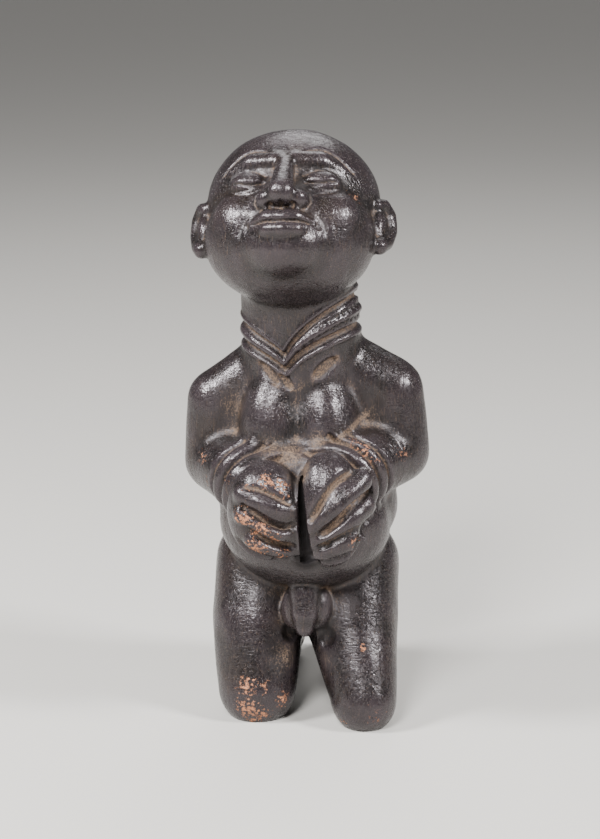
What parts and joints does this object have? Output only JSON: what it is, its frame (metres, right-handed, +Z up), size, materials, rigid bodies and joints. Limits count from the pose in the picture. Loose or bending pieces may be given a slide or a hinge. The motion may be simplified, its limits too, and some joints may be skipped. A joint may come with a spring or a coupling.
{
  "type": "terracotta kneeling figure",
  "caption": "Kneeling figure of burnished black terracotta, head thrown back, sitting on its heels with both hands held against a round belly.",
  "frame": {"origin": "on the floor plane, under the middle of the figure's width and depth", "axes": "+Z up, from the knees to the head; -Y the way the figure faces; +X to the figure's own left, the viewer's right"},
  "size_m": [0.0919, 0.1065, 0.2185],
  "materials": {
    "terracotta": "satin"
  },
  "bodies": {
    "root": {"kneeling_figure": "terracotta"}
  },
  "joints": []
}
